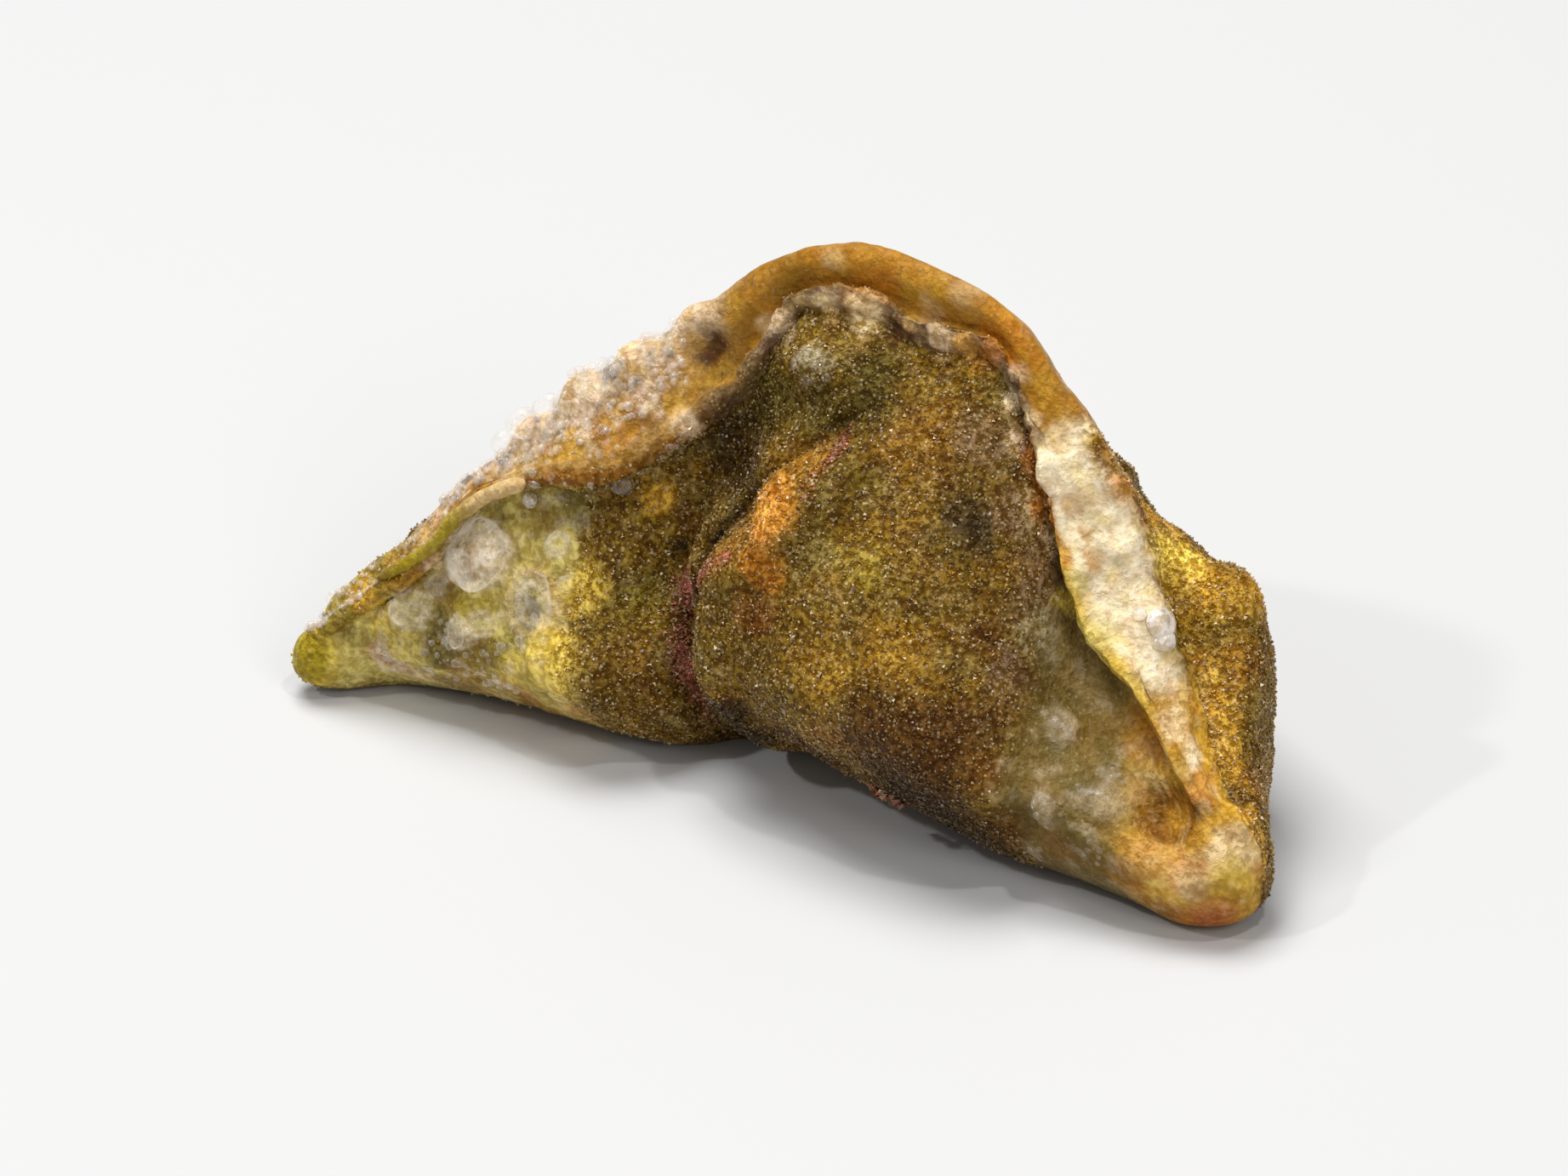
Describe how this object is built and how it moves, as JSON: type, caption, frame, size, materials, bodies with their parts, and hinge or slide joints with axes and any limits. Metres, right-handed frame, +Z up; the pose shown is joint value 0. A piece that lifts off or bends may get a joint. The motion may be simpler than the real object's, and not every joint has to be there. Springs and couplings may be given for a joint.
{
  "type": "vegetable dumpling",
  "caption": "Crescent-shaped fried dumpling: a thin pleated wrapper round a plump belly, sealed by a pinched seam along the top, resting on a flat base.",
  "frame": {"origin": "centre of the bounding box, at the level of the flat base", "axes": "+X from the left tip to the right tip, +Y towards the rounded back, +Z up; the pleated belly faces -Y"},
  "size_m": [0.0728, 0.0316, 0.0356],
  "materials": {
    "fried_wrapper": "deep-fried green dough: golden brown on the seam and tips, olive green on the belly, blistered, with a thin sheen of oil"
  },
  "bodies": {
    "root": {"dumpling": "fried_wrapper"}
  },
  "joints": []
}
